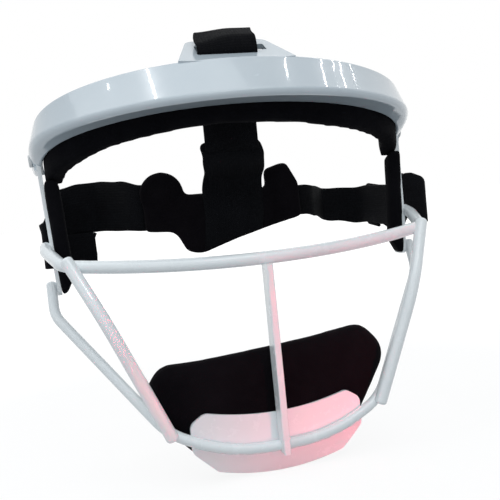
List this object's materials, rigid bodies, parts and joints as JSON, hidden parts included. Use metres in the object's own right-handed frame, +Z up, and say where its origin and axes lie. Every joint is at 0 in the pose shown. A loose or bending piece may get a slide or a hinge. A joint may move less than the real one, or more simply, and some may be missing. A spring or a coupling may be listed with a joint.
{
  "type": "softball face guard",
  "caption": "Open wire face guard with a moulded brow band, foam pads, side plates and an elastic rear harness, worn over the front of the head.",
  "frame": {"origin": "middle of the head opening, halfway between the side plates, level with the ends of the upper rail", "axes": "+X to the right of someone facing the guard, +Y backward through the head opening, +Z up"},
  "size_m": [0.2151, 0.113, 0.2122],
  "materials": {
    "white_shell": "gloss",
    "white_wire": "gloss coating",
    "rivet_steel": "gloss coating",
    "black_foam": "matt",
    "black_webbing": "woven elastic"
  },
  "bodies": {
    "guard": {"brow_shell": "white_shell", "brow_liner": "black_foam", "shell_rivets": "rivet_steel", "right_side_plate": "white_wire", "left_side_plate": "white_wire", "right_side_pad": "black_foam", "left_side_pad": "black_foam", "upper_rail": "white_wire", "lower_rail": "white_wire", "right_diagonal_bar": "white_wire", "left_diagonal_bar": "white_wire", "centre_bar": "white_wire", "chin_plate": "white_wire", "chin_pad": "black_foam", "right_side_strap": "black_webbing", "left_side_strap": "black_webbing", "left_strap_tail": "black_webbing", "top_strap": "black_webbing"},
    "harness": {"rear_pad": "black_webbing", "rear_pad_tongue": "black_webbing"},
    "right_tab": {"right_strap_tab": "black_webbing"},
    "left_tab": {"left_strap_tab": "black_webbing"},
    "top_tab": {"top_strap_tab": "black_webbing"}
  },
  "joints": [
    {"name": "harness_stretch", "type": "slide", "parent": "guard", "child": "harness", "axis": [0, 1, 0], "range_m": [0, 0.1], "stiffness_N_per_m": 60, "deforming": ["right_side_strap", "left_side_strap", "top_strap", "left_strap_tail"]},
    {"name": "right_tab_adjust", "type": "slide", "parent": "guard", "child": "right_tab", "axis": [0, 0.9937, 0.1118], "range_m": [0, 0.005]},
    {"name": "left_tab_adjust", "type": "slide", "parent": "guard", "child": "left_tab", "axis": [0, 0.9363, 0.3511], "range_m": [0, 0.005]},
    {"name": "top_tab_adjust", "type": "slide", "parent": "guard", "child": "top_tab", "axis": [0, 0.993, -0.1185], "range_m": [0, 0.005]}
  ]
}
